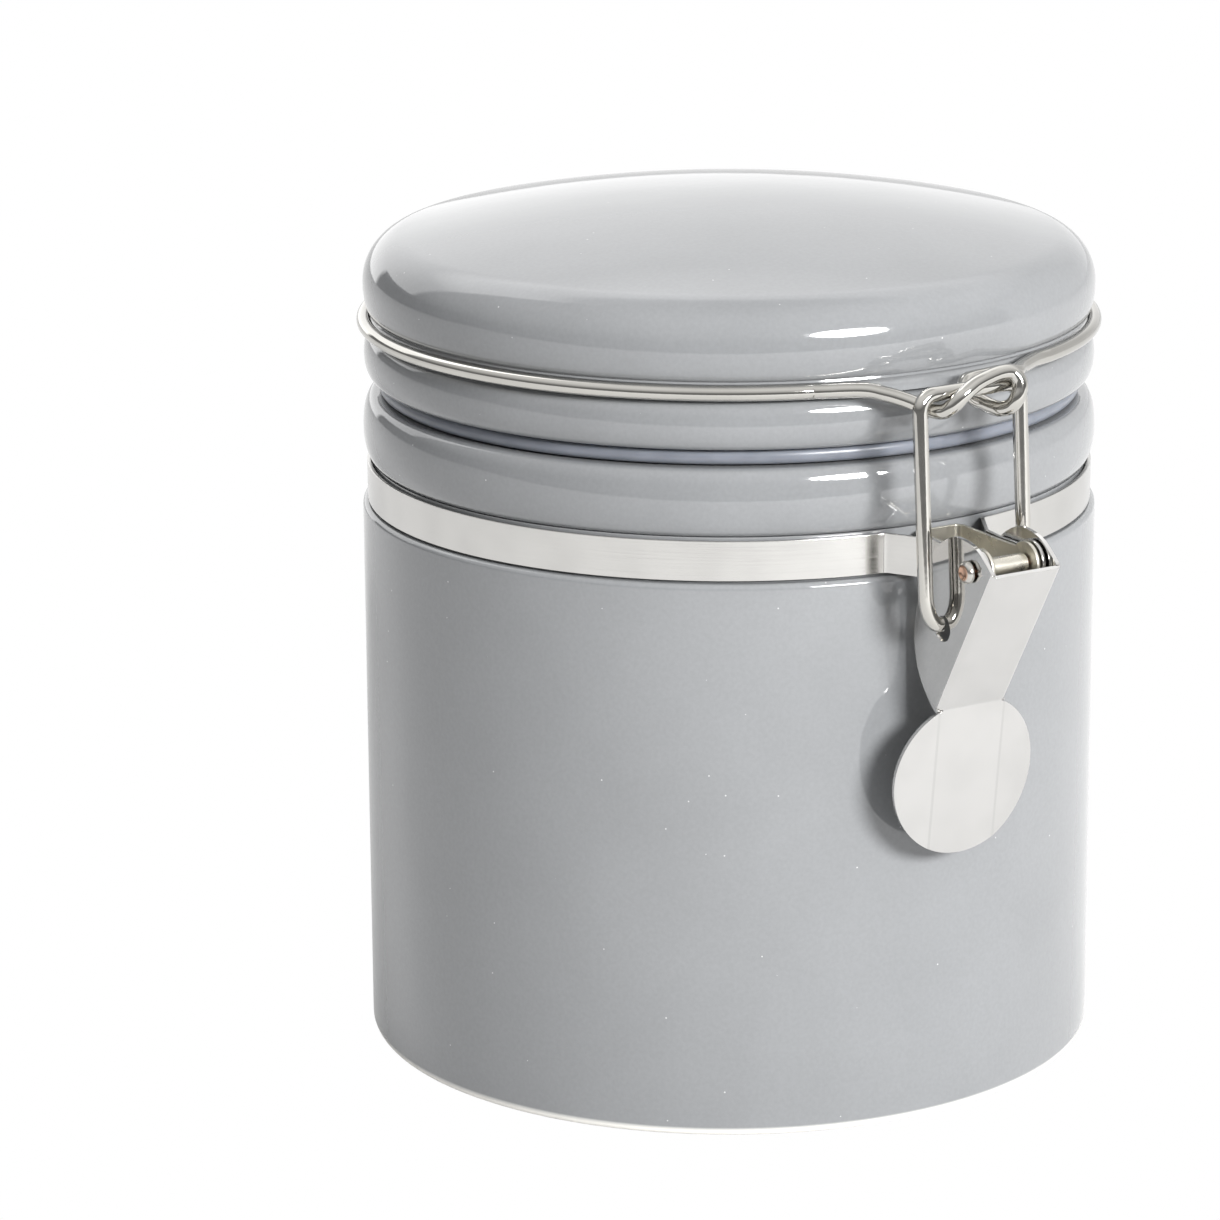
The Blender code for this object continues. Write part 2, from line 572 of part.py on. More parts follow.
def make_lever(steel):
    """The pressed lever: two side plates and a web in a channel, and a round thumb tab."""
    outline = [(x * PLATE_DEPTH, z * PLATE_HEIGHT) for x, z in PLATE_SHARES]
    upper, lower = Vector(outline[0]), Vector(outline[-1])
    soft = [(x, z, 0.0) for x, z in outline]
    outline = [(x, z) for x, z, _ in smooth_run(soft, 2)]
    frame = side_frame(PIVOT_R, PIVOT_Z)
    lever = slab("lever", [outline], -LEVER_HALF_WIDTH, LEVER_HALF_WIDTH, frame)
    bm = bmesh.new()
    bm.from_mesh(lever.data)
    corners = [frame @ Vector((p.x, p.y, side * LEVER_HALF_WIDTH)) for side in (-1, 1)
               for p in (upper, lower)]
    near = [v for v in bm.verts if any((v.co - c).length < SEAT_GAP for c in corners)]
    folds = [e for e in bm.edges if e.verts[0] in near and e.verts[1] in near
             and abs(e.verts[0].co.x - e.verts[1].co.x) < SEAT_GAP]
    bmesh.ops.bevel(bm, geom=folds, offset=FOLD_ROUND, segments=3, profile=0.5,
                    affect="EDGES", material=-1)
    bm.to_mesh(lever.data)
    bm.free()
    # the hollow behind the web
    along = (upper - lower).normalized()
    inward = Vector((-along.y, along.x))
    top = upper + inward * SHEET + along * OVERRUN * 2
    foot = lower + inward * SHEET - along * OVERRUN * 2
    far = inward * (PLATE_DEPTH + PLATE_HEIGHT)
    hollow = slab("lever_hollow", [[tuple(top), tuple(top + far), tuple(foot + far), tuple(foot)]],
                  -PLATE_INNER, PLATE_INNER, frame)
    lever = combine(lever, hollow, "DIFFERENCE")
    # the tab: a disc cut from sheet whose sides are creased back in line with the folds
    wing = 2 * TAB_RADIUS
    bend = TAB_WING_BEND * (wing - TAB_CREASE) / (TAB_RADIUS - TAB_CREASE)
    path = [(-wing, bend), (-TAB_CREASE, 0.0), (TAB_CREASE, 0.0), (wing, bend)]
    sheet = ribbon("tab_sheet", path, -2 * TAB_RADIUS - TAB_DROP, TAB_DROP, SHEET)
    turn = math.degrees(math.acos(TAB_NECK / TAB_RADIUS))
    disc = arc((0.0, -TAB_DROP), TAB_RADIUS, turn, turn - 360 + 2 * (90 - turn), 36)
    disc = [(TAB_NECK, SHEET)] + disc + [(-TAB_NECK, SHEET)]
    press = slab("tab_disc", [disc], -TAB_DROP, TAB_DROP,
                 Matrix.Rotation(math.radians(90), 4, "X"))
    tab = combine(sheet, press, "INTERSECT")
    lean = Matrix.Rotation(math.radians(TAB_LEAN_DEGREES), 4, "X")
    seat = lower + inward * SHEET / 2
    tab.data.transform(Matrix.Translation((0, -PIVOT_R - seat.x, PIVOT_Z + seat.y)) @ lean)
    lever = combine(lever, tab, "UNION")
    hook_hole = (0, -HOOK_R, HOOK_Z - HOOK_HOLE_RADIUS + WIRE_RADIUS)
    for name, radius, at in (("lever_drill", PIN_HOLE_RADIUS, (0, -PIVOT_R, PIVOT_Z)),
                             ("hook_drill", HOOK_HOLE_RADIUS, hook_hole)):
        lever = combine(lever, cylinder(name, radius, 4 * LEVER_HALF_WIDTH, at), "DIFFERENCE")
    CUTTERS.objects.unlink(lever)
    PARTS.objects.link(lever)
    return finish(lever, steel)


def build():
    glaze = material("grey_glaze", (0.33, 0.34, 0.35), 0.12, 0.0)
    silicone = material("silicone", (0.25, 0.29, 0.36), 0.35, 0.0)
    steel = material("polished_steel", (0.78, 0.78, 0.77), 0.18, 1.0)
    nickel = material("nickel_wire", (0.70, 0.68, 0.64), 0.15, 1.0)
    copper = material("copper_rivet", (0.72, 0.48, 0.36), 0.25, 1.0)
    make_jar_body(glaze)
    make_band(steel)
    make_saddle(steel)
    make_sleeve(steel)
    make_rivet(copper)
    make_hinge_clip(steel)
    hang("lid_hinge_axis", (0, HINGE_Y, HINGE_Z),
         [make_lid(glaze), make_gasket(silicone), make_lid_wire(nickel)])
    hang("bail_axis", (0, -BAR_R, WIRE_HEIGHT), [make_bail(nickel)])
    hang("lever_axis", (0, -PIVOT_R, PIVOT_Z), [make_lever(steel)])


build()
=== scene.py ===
"""Dresses the clamp-lid storage jar: glazed body and lid, sealing ring, wires, clasp and studio.

Run as a script in Blender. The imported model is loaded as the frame, and every piece made here
stands in its place, in metres, with the jar's axis on Z and the clasp at the front (-Y).
"""
import math

import bmesh
import bpy
from bpy.props import FloatProperty, FloatVectorProperty, IntProperty, PointerProperty
from mathutils import Matrix, Vector


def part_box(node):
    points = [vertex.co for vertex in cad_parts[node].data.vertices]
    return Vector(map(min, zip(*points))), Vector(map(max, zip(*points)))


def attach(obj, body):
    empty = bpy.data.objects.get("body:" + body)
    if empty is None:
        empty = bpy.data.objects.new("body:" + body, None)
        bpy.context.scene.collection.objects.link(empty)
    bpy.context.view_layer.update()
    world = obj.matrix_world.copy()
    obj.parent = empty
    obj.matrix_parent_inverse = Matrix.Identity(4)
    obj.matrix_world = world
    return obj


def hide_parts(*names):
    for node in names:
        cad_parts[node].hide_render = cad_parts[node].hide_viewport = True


bl_info = {
    "name": "Clamp-lid storage jar",
    "version": (1, 0, 0),
    "blender": (4, 5, 0),
    "location": "View3D > Sidebar > Jar",
    "description": "Builds a glazed storage jar with a wire clasp on its packed frame",
    "category": "Add Mesh",
}

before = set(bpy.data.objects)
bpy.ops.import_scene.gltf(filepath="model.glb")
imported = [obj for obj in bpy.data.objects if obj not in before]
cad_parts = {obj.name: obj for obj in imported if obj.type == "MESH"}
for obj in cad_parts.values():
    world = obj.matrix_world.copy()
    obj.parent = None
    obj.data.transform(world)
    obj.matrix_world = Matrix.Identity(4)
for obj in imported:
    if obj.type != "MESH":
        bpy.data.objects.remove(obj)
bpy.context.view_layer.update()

MM = 0.001
TOLERANCE = 0.01 * MM
BAND_LOW, BAND_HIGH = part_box("hinge_clip")[0].z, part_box("hinge_clip")[1].z
BODY_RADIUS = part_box("jar_body")[1].x
RIM_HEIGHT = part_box("jar_body")[1].z
LID_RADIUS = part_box("lid")[1].x
LID_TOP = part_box("lid")[1].z
PLUG_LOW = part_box("lid")[0].z
RING_LOW, RING_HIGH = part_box("lid_gasket")[0].z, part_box("lid_gasket")[1].z
RING_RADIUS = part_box("lid_gasket")[1].x

# Points on the axes of the lever's rivet, the bail's bar and the lid's hinge
PIVOT = Vector((0.0, -0.0764, 0.09405))
BAR = Vector((0.0, -0.0670, 0.1197))
HINGE = Vector((0.0, 0.0618, 0.09345))

WIRE_RADIUS = 1.2 * MM
WIRE_HEIGHT = 119.7 * MM
WIRE_RING = 59.3 * MM

RIVET_HOLE = 1.1 * MM
HOOK_HOLE = 2.0 * MM
HOOK_OUT, HOOK_UP = -6.9 * MM, -10.511 * MM   # the hook holes, from the rivet
PLATE_X = 6.0 * MM                            # the middle of the lever's side plates
PLATE_CLEAR = 6.65 * MM                       # just outside those plates
CREASE_X = 6.1 * MM                           # the creases of the thumb tab
TAB_TOP = 70.6 * MM


# Settings that a user would change

class JarShape(bpy.types.PropertyGroup):
    turn_steps: IntProperty(
        name="Turn steps", description="Facets round the turned pieces", default=192, min=32, max=256)
    bead_bulge: FloatProperty(
        name="Bead bulge", description="How far the beads swell past their roots",
        default=2.2 * MM, subtype="DISTANCE")
    wall: FloatProperty(
        name="Wall", description="Thickness of the ceramic wall", default=5.5 * MM, subtype="DISTANCE")
    lid_shoulder: FloatProperty(
        name="Lid shoulder", description="Radius of the lid's shoulder", default=8.0 * MM,
        subtype="DISTANCE")
    lid_crown: FloatProperty(
        name="Lid crown", description="Radius of the lid's low dome", default=240.0 * MM,
        subtype="DISTANCE")


class ClaspShape(bpy.types.PropertyGroup):
    sheet: FloatProperty(
        name="Sheet", description="Thickness of the lever's sheet", default=0.7 * MM,
        subtype="DISTANCE")
    strip: FloatProperty(
        name="Strip", description="Thickness of the neck band", default=0.6 * MM,
        subtype="DISTANCE")
    edge: FloatProperty(
        name="Edge", description="Rounding of the sheet's edges", default=0.1 * MM,
        subtype="DISTANCE")
    wire_sides: IntProperty(
        name="Wire sides", description="Facets round the wires", default=24, min=8, max=48)


class JarColours(bpy.types.PropertyGroup):
    glaze: FloatVectorProperty(
        name="Glaze", description="Colour of the glaze", default=(0.202, 0.208, 0.214),
        subtype="COLOR", min=0.0, max=1.0)
    clay: FloatVectorProperty(
        name="Clay", description="Colour of the bare clay under the foot",
        default=(0.78, 0.76, 0.72), subtype="COLOR", min=0.0, max=1.0)
    ring: FloatVectorProperty(
        name="Sealing ring", description="Colour of the silicone ring",
        default=(0.19, 0.203, 0.235), subtype="COLOR", min=0.0, max=1.0)
    steel: FloatVectorProperty(
        name="Band steel", description="Colour of the neck band's steel",
        default=(0.64, 0.63, 0.61), subtype="COLOR", min=0.0, max=1.0)
    lever: FloatVectorProperty(
        name="Lever steel", description="Colour of the lever's steel",
        default=(0.70, 0.69, 0.675), subtype="COLOR", min=0.0, max=1.0)
    saddle: FloatVectorProperty(
        name="Saddle steel", description="Colour of the saddle and the spacer tube",
        default=(0.72, 0.69, 0.61), subtype="COLOR", min=0.0, max=1.0)
    nickel: FloatVectorProperty(
        name="Nickel", description="Colour of the plated wire", default=(0.58, 0.565, 0.53),
        subtype="COLOR", min=0.0, max=1.0)
    copper: FloatVectorProperty(
        name="Copper", description="Colour of the rivet's centre", default=(0.56, 0.36, 0.26),
        subtype="COLOR", min=0.0, max=1.0)


# Node helpers

def place(tree, kind, **settings):
    """A node of that kind, with its attributes or, after in_, its named inputs set."""
    node = tree.nodes.new(kind)
    for key, value in settings.items():
        if key.startswith("in_"):
            node.inputs[key[3:]].default_value = value
        else:
            setattr(node, key, value)
    return node


def feed(tree, node, *inputs):
    """Fill the node's inputs in their order, each from a socket or with a plain value."""
    for socket, value in zip(node.inputs, inputs):
        if isinstance(value, bpy.types.NodeSocket):
            tree.links.new(value, socket)
        else:
            socket.default_value = value
    return node


def maths(tree, operation, *inputs):
    return feed(tree, place(tree, "ShaderNodeMath", operation=operation), *inputs).outputs[0]


def vector_maths(tree, operation, *inputs):
    """The vector, or for a length or a dot product the number, that the operation gives."""
    node = feed(tree, place(tree, "ShaderNodeVectorMath", operation=operation), *inputs)
    return node.outputs["Value" if operation in ("LENGTH", "DOT_PRODUCT") else "Vector"]


def remap(tree, source, from_low, from_high, to_low=0.0, to_high=1.0):
    """Stretch one range of numbers over another, and hold it at both ends."""
    node = place(tree, "ShaderNodeMapRange")
    return feed(tree, node, source, from_low, from_high, to_low, to_high).outputs[0]


def coordinates(tree, kind="Object"):
    return place(tree, "ShaderNodeTexCoord").outputs[kind]


def separate(tree, vector):
    """A vector's X, Y and Z, by name."""
    return feed(tree, place(tree, "ShaderNodeSeparateXYZ"), vector).outputs


def ramp(tree, source, stops):
    """A colour ramp fed by source, with (position, grey value) stops."""
    node = place(tree, "ShaderNodeValToRGB")
    elements = node.color_ramp.elements
    while len(elements) < len(stops):
        elements.new(0.5)
    for element, (position, value) in zip(elements, stops):
        element.position = position
        element.color = (value, value, value, 1.0)
    tree.links.new(source, node.inputs["Fac"])
    return node.outputs["Color"]


def blend_colours(tree, factor, first, second, mode="MIX"):
    """Mix two colours, each a socket or plain values."""
    node = place(tree, "ShaderNodeMix", data_type="RGBA", blend_type=mode)
    for socket, value in ((node.inputs[0], factor), (node.inputs[6], first), (node.inputs[7], second)):
        if isinstance(value, bpy.types.NodeSocket):
            tree.links.new(value, socket)
        elif isinstance(value, float):
            socket.default_value = value
        else:
            socket.default_value = (*value, 1.0)
    return node.outputs[2]


def surface_grain_group():
    """Streaks or mottling on Object coordinates, as a mask from 0 to 1."""
    name = "surface_grain"
    if name in bpy.data.node_groups:
        return bpy.data.node_groups[name]
    tree = bpy.data.node_groups.new(name, "ShaderNodeTree")
    for label, kind, direction in (("Stretch", "NodeSocketVector", "INPUT"),
                                   ("Scale", "NodeSocketFloat", "INPUT"),
                                   ("Detail", "NodeSocketFloat", "INPUT"),
                                   ("Mask", "NodeSocketFloat", "OUTPUT")):
        tree.interface.new_socket(name=label, in_out=direction, socket_type=kind)
    inlet = place(tree, "NodeGroupInput")
    outlet = place(tree, "NodeGroupOutput")
    noise = place(tree, "ShaderNodeTexNoise")
    stretched = vector_maths(tree, "MULTIPLY", coordinates(tree), inlet.outputs["Stretch"])
    tree.links.new(stretched, noise.inputs["Vector"])
    tree.links.new(inlet.outputs["Scale"], noise.inputs["Scale"])
    tree.links.new(inlet.outputs["Detail"], noise.inputs["Detail"])
    tree.links.new(noise.outputs["Fac"], outlet.inputs["Mask"])
    return tree


def grain(tree, scale, detail, stretch=(1.0, 1.0, 1.0)):
    """The shared grain's mask, finer along an axis the more that axis is stretched."""
    node = place(tree, "ShaderNodeGroup", node_tree=surface_grain_group())
    return feed(tree, node, stretch, scale, detail).outputs["Mask"]


# Materials

def new_material(name, **values):
    """A material and its Principled shader, with plain values on its sockets."""
    made = bpy.data.materials.new(name)
    made.use_nodes = True
    shader = made.node_tree.nodes["Principled BSDF"]
    for key, value in values.items():
        shader.inputs[key.replace("_", " ")].default_value = value
    return made, made.node_tree, shader


def glaze_material(colours):
    """Glossy grey glaze over pale clay: soft mottling, pale specks and a faint orange peel."""
    glossy, unglazed = 0.07, 0.7
    bare_from, bare_below = 1.6 * MM, 0.9 * MM
    speck_cells, speck_share, speck_size = 420.0, 0.2, 0.055
    speck_colour = (0.46, 0.46, 0.455)
    made, tree, shader = new_material("grey_glaze_fired", Roughness=glossy, IOR=1.52,
                                      Coat_Weight=0.5, Coat_Roughness=0.03)
    clouds = ramp(tree, grain(tree, 45.0, 3.0), [(0.35, 0.97), (0.65, 1.03)])
    fine = ramp(tree, grain(tree, 1500.0, 2.0), [(0.3, 0.965), (0.7, 1.03)])
    tone = blend_colours(tree, 1.0, colours.glaze[:], clouds, "MULTIPLY")
    tone = blend_colours(tree, 1.0, tone, fine, "MULTIPLY")
    where = coordinates(tree)
    cells = place(tree, "ShaderNodeTexVoronoi", in_Scale=speck_cells)
    tree.links.new(where, cells.inputs["Vector"])
    chance = feed(tree, place(tree, "ShaderNodeSeparateColor"), cells.outputs["Color"]).outputs[0]
    speck = maths(tree, "MULTIPLY", maths(tree, "LESS_THAN", chance, speck_share),
                  maths(tree, "LESS_THAN", cells.outputs["Distance"], speck_size))
    tone = blend_colours(tree, speck, tone, speck_colour)
    bare = remap(tree, separate(tree, where)["Z"], bare_from, bare_below)
    tree.links.new(blend_colours(tree, bare, tone, colours.clay[:]), shader.inputs["Base Color"])
    tree.links.new(remap(tree, bare, 0.0, 1.0, glossy, unglazed), shader.inputs["Roughness"])
    waves = place(tree, "ShaderNodeBump", in_Strength=0.25, in_Distance=0.4 * MM)
    tree.links.new(grain(tree, 60.0, 1.0), waves.inputs["Height"])
    peel = place(tree, "ShaderNodeBump", in_Strength=0.08, in_Distance=0.1 * MM)
    tree.links.new(grain(tree, 700.0, 1.0), peel.inputs["Height"])
    tree.links.new(waves.outputs[0], peel.inputs["Normal"])
    tree.links.new(peel.outputs[0], shader.inputs["Normal"])
    return made


def silicone_material(colours):
    """Translucent blue-grey silicone with a soft, slightly dusty face."""
    made, tree, shader = new_material(
        "sealing_ring_silicone", Roughness=0.28, IOR=1.41, Transmission_Weight=0.15,
        Subsurface_Weight=0.25, Subsurface_Scale=2.0 * MM, Subsurface_Radius=(0.6, 0.8, 1.0))
    clouds = ramp(tree, grain(tree, 220.0, 3.0, (1.0, 1.0, 3.0)), [(0.3, 0.88), (0.7, 1.08)])
    tree.links.new(blend_colours(tree, 1.0, colours.ring[:], clouds, "MULTIPLY"),
                   shader.inputs["Base Color"])
    return made


def rivet_material(colours):
    """A steel rivet whose set centre shows copper."""
    copper_to, steel_from = 1.12 * MM, 1.32 * MM
    made, tree, shader = new_material("rivet_copper_centre", Metallic=1.0, Roughness=0.22)
    spot = vector_maths(tree, "SUBTRACT", coordinates(tree), tuple(PIVOT))
    radius = vector_maths(tree, "LENGTH", vector_maths(tree, "MULTIPLY", spot, (0.0, 1.0, 1.0)))
    mottle = ramp(tree, grain(tree, 900.0, 3.0), [(0.3, 0.8), (0.7, 1.05)])
    copper = blend_colours(tree, 1.0, colours.copper[:], mottle, "MULTIPLY")
    rim = remap(tree, radius, copper_to, steel_from)
    tree.links.new(blend_colours(tree, rim, copper, colours.nickel[:]), shader.inputs["Base Color"])
    return made


# Each metal's colour setting, roughness, grain scale and stretch, and strength of relief
METALS = {
    "band_steel": ("steel", 0.16, 60.0, (1.0, 1.0, 60.0), 0.12),
    "lever_steel": ("lever", 0.17, 60.0, (40.0, 1.0, 1.0), 0.10),
    "saddle_steel": ("saddle", 0.32, 200.0, (1.0, 1.0, 1.0), 0.10),
    "wire_nickel": ("nickel", 0.08, 400.0, (1.0, 1.0, 1.0), 0.10),
}


def lever_marks(tree, tone, gloss, colour):
    """Polish the lever's side plates, and paint a thin darker line of shade along each crease of its
    tab.
    """
    plate_from, plate_roughness = 5.6 * MM, 0.05
    crease_shade_half, crease_shade_factor = 0.22 * MM, 0.9
    where = separate(tree, coordinates(tree))
    across = maths(tree, "ABSOLUTE", where["X"])
    above = maths(tree, "GREATER_THAN", where["Z"], TAB_TOP)
    plates = maths(tree, "MULTIPLY", maths(tree, "GREATER_THAN", across, plate_from), above)
    gloss = remap(tree, plates, 0.0, 1.0, gloss, plate_roughness)
    # Painted shade: the steel's colour is darkened in a thin line along each crease of the tab,
    # standing in for the shade in the crease
    line = maths(tree, "MULTIPLY", maths(tree, "COMPARE", across, CREASE_X, crease_shade_half),
                 maths(tree, "SUBTRACT", 1.0, above))
    return blend_colours(tree, line, tone, [crease_shade_factor * part for part in colour]), gloss


def metal_material(name, colours):
    """Bright metal with fine streaks in its gloss and its face."""
    setting, roughness, scale, stretch, relief = METALS[name]
    colour = getattr(colours, setting)[:]
    made, tree, shader = new_material(name, Metallic=1.0)
    streaks = grain(tree, scale, 4.0, stretch)
    gloss = remap(tree, streaks, 0.3, 0.7, roughness * 0.75, roughness * 1.3)
    stain = ramp(tree, grain(tree, 130.0, 2.0), [(0.3, 0.94), (0.6, 1.0)])
    tone = blend_colours(tree, 1.0, colour, stain, "MULTIPLY")
    if name == "lever_steel":
        tone, gloss = lever_marks(tree, tone, gloss, colour)
    tree.links.new(tone, shader.inputs["Base Color"])
    tree.links.new(gloss, shader.inputs["Roughness"])
    bump = place(tree, "ShaderNodeBump", in_Strength=relief, in_Distance=0.05 * MM)
    tree.links.new(streaks, bump.inputs["Height"])
    tree.links.new(bump.outputs[0], shader.inputs["Normal"])
    return made


def material(name):
    """A material by name, made when first asked for."""
    if name in bpy.data.materials:
        return bpy.data.materials[name]
    colours = bpy.context.scene.jar_colours
    if name in METALS:
        return metal_material(name, colours)
    makers = {"grey_glaze_fired": glaze_material, "sealing_ring_silicone": silicone_material,
              "rivet_copper_centre": rivet_material}
    return makers[name](colours)


# Shape helpers

def near(a, b):
    return abs(a - b) < TOLERANCE


def arc(centre, radius, start, end, steps, stretch=1.0):
    """Points on an arc in degrees, or on an ellipse where its height is stretched."""
    angles = (math.radians(start + (end - start) * i / steps) for i in range(steps + 1))
    return [(centre[0] + radius * math.cos(a), centre[1] + radius * stretch * math.sin(a))
            for a in angles]


def bead(root, bulge, low, high, steps):
    """A full bead, from its top down to its foot."""
    middle, half = (low + high) / 2, (high - low) / 2
    angles = (math.radians(90 - 180 * i / steps) for i in range(steps + 1))
    return [(root + bulge * abs(math.cos(a)) ** 0.75, middle + half * math.sin(a)) for a in angles]


def smooth_run(points, steps):
    """A smooth curve through the points."""
    places = [Vector(p) for p in points]
    last = len(places) - 1
    made = []
    for i in range(last):
        a, b, c, d = (places[min(max(k, 0), last)] for k in (i - 1, i, i + 1, i + 2))
        for k in range(steps):
            u = k / steps
            made.append((2 * b + (c - a) * u + (2 * a - 5 * b + 4 * c - d) * u * u
                         + (3 * b - a - 3 * c + d) * u ** 3) / 2)
    return made + [places[-1]]


def turned(profile, steps, axis=(0.0, 0.0, 1.0), centre=(0.0, 0.0, 0.0), closed=False):
    """Spin a profile, given as points, a full turn round an axis."""
    bm = bmesh.new()
    verts = [bm.verts.new(p) for p in profile]
    edges = [bm.edges.new(pair) for pair in zip(verts, verts[1:])]
    if closed:
        edges.append(bm.edges.new((verts[-1], verts[0])))
    bmesh.ops.spin(bm, geom=verts + edges, cent=centre, axis=axis, angle=2 * math.pi,
                   steps=steps, use_merge=True, use_duplicate=False)
    return bm


def turned_upright(profile, steps, closed=False):
    """Spin a (radius, height) profile round the jar's axis."""
    return turned([(r, 0.0, z) for r, z in profile], steps, closed=closed)


def turned_on_rivet(profile, closed=False):
    """Spin a (sideways, radius) profile round the rivet's axis."""
    points = [(x, PIVOT.y, PIVOT.z + r) for x, r in profile]
    return turned(points, 40, (1.0, 0.0, 0.0), PIVOT, closed)


def extruded(bm, edges):
    """Extrude edges, and give the new vertices and the new edges between them."""
    made = bmesh.ops.extrude_edge_only(bm, edges=edges)["geom"]
    verts = [g for g in made if isinstance(g, bmesh.types.BMVert)]
    fresh = set(verts)
    return verts, [g for g in made if isinstance(g, bmesh.types.BMEdge) and set(g.verts) <= fresh]


def swept(points, radius, sides):
    """Extrude a round section along a path, turning it with the path, and close both ends."""
    path = [Vector(p) for p in points]
    ways = [(path[min(i + 1, len(path) - 1)] - path[max(i - 1, 0)]).normalized()
            for i in range(len(path))]
    bm = bmesh.new()
    start = Matrix.Translation(path[0]) @ Vector((0, 0, 1)).rotation_difference(
        ways[0]).to_matrix().to_4x4()
    bmesh.ops.create_circle(bm, cap_ends=True, segments=sides, radius=radius, matrix=start)
    edges = list(bm.edges)
    for i in range(1, len(path)):
        verts, edges = extruded(bm, edges)
        turn = ways[i - 1].rotation_difference(ways[i]).to_matrix().to_4x4()
        bmesh.ops.transform(bm, verts=verts, matrix=Matrix.Translation(path[i]) @ turn
                            @ Matrix.Translation(-path[i - 1]))
    bmesh.ops.holes_fill(bm, edges=edges, sides=sides)
    return bm


def fill_plate(bm, loop, holes):
    """Fill a loop of vertices that share one X, round its (centre, radius) holes."""
    edges = [bm.edges.get(pair) or bm.edges.new(pair) for pair in zip(loop, loop[1:] + loop[:1])]
    for centre, radius in holes:
        across = Matrix.Translation(centre) @ Matrix.Rotation(math.radians(90), 4, "Y")
        rim = bmesh.ops.create_circle(
            bm, cap_ends=False, segments=32, radius=radius, matrix=across)["verts"]
        edges += dict.fromkeys(e for v in rim for e in v.link_edges)
    bmesh.ops.triangle_fill(bm, use_beauty=True, use_dissolve=False, edges=edges)


def round_edges(bm, edges, width, segments):
    """Bevel edges, and give the vertices that this makes."""
    return bmesh.ops.bevel(bm, geom=edges, offset=width, segments=segments, profile=0.5,
                           affect="EDGES", material=-1)["verts"]


def finish_piece(name, bm, body, paint, stands_for, sharp=35.0):
    """Make the mesh an object that rides on its body and wears its material."""
    bmesh.ops.remove_doubles(bm, verts=bm.verts, dist=0.002 * MM)
    bmesh.ops.recalc_face_normals(bm, faces=bm.faces)
    mesh = bpy.data.meshes.new(name)
    bm.to_mesh(mesh)
    bm.free()
    mesh.materials.append(material(paint))
    mesh.shade_smooth()
    mesh.set_sharp_from_angle(angle=math.radians(sharp))
    piece = bpy.data.objects.new(name, mesh)
    bpy.context.scene.collection.objects.link(piece)
    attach(piece, body)
    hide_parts(*stands_for)
    return piece


def sheet_thickness(piece, thickness, edge):
    """Give a flat-sided surface its sheet thickness, softly rounded edges and flat shading."""
    wall = piece.modifiers.new("sheet", "SOLIDIFY")
    wall.thickness = thickness
    wall.offset = 0.0
    wall.use_even_offset = True
    soft = piece.modifiers.new("edges", "BEVEL")
    soft.width = edge
    soft.segments = 2
    soft.limit_method = "ANGLE"
    soft.angle_limit = math.radians(50)
    flat = piece.modifiers.new("flat faces", "WEIGHTED_NORMAL")
    flat.keep_sharp = True


# Operators, one for each piece or group of like pieces

class JAR_OT_body(bpy.types.Operator):
    """Turn the glazed jar with its foot, band groove, neck bead and rim"""
    bl_idname = "jar.body"
    bl_label = "Jar body"

    def execute(self, context):
        shape = context.scene.jar_shape
        wall, floor, mouth = shape.wall, 5.5 * MM, 52.6 * MM
        corner, inside, neck, ease = 6 * MM, 4 * MM, 3 * MM, 2 * MM
        edge, foot, crease = 0.9 * MM, 1.4 * MM, 0.3 * MM
        inner = BODY_RADIUS - wall
        groove = BODY_RADIUS - 1.7 * MM
        step_low, step_high = BAND_LOW - 0.4 * MM, BAND_HIGH + 0.4 * MM
        profile = [(0.0, floor)]
        profile += arc((inner - corner, floor + corner), corner, -90, 0, 12)
        profile += arc((inner - inside, step_low - wall - ease), inside, 0, 22, 4)
        profile += arc((mouth + neck, step_low + wall + ease), neck, 202, 180, 4)
        profile += arc((mouth + edge, RIM_HEIGHT - edge), edge, 180, 90, 6)
        profile += bead(BODY_RADIUS - crease - shape.bead_bulge, shape.bead_bulge,
                        step_high, RIM_HEIGHT, 28)
        profile += [(groove, step_high), (groove, step_low + crease)]
        profile += arc((groove + crease, step_low + crease), crease, 180, 270, 4)
        profile += arc((BODY_RADIUS - edge, step_low - edge), edge, 90, 0, 8)
        profile += arc((BODY_RADIUS - foot, foot), foot, 0, -90, 8)
        profile += [(0.0, 0.0)]
        bm = turned_upright(profile, shape.turn_steps)
        finish_piece("jar_body_glazed", bm, "jar", "grey_glaze_fired", ["jar_body"])
        return {"FINISHED"}


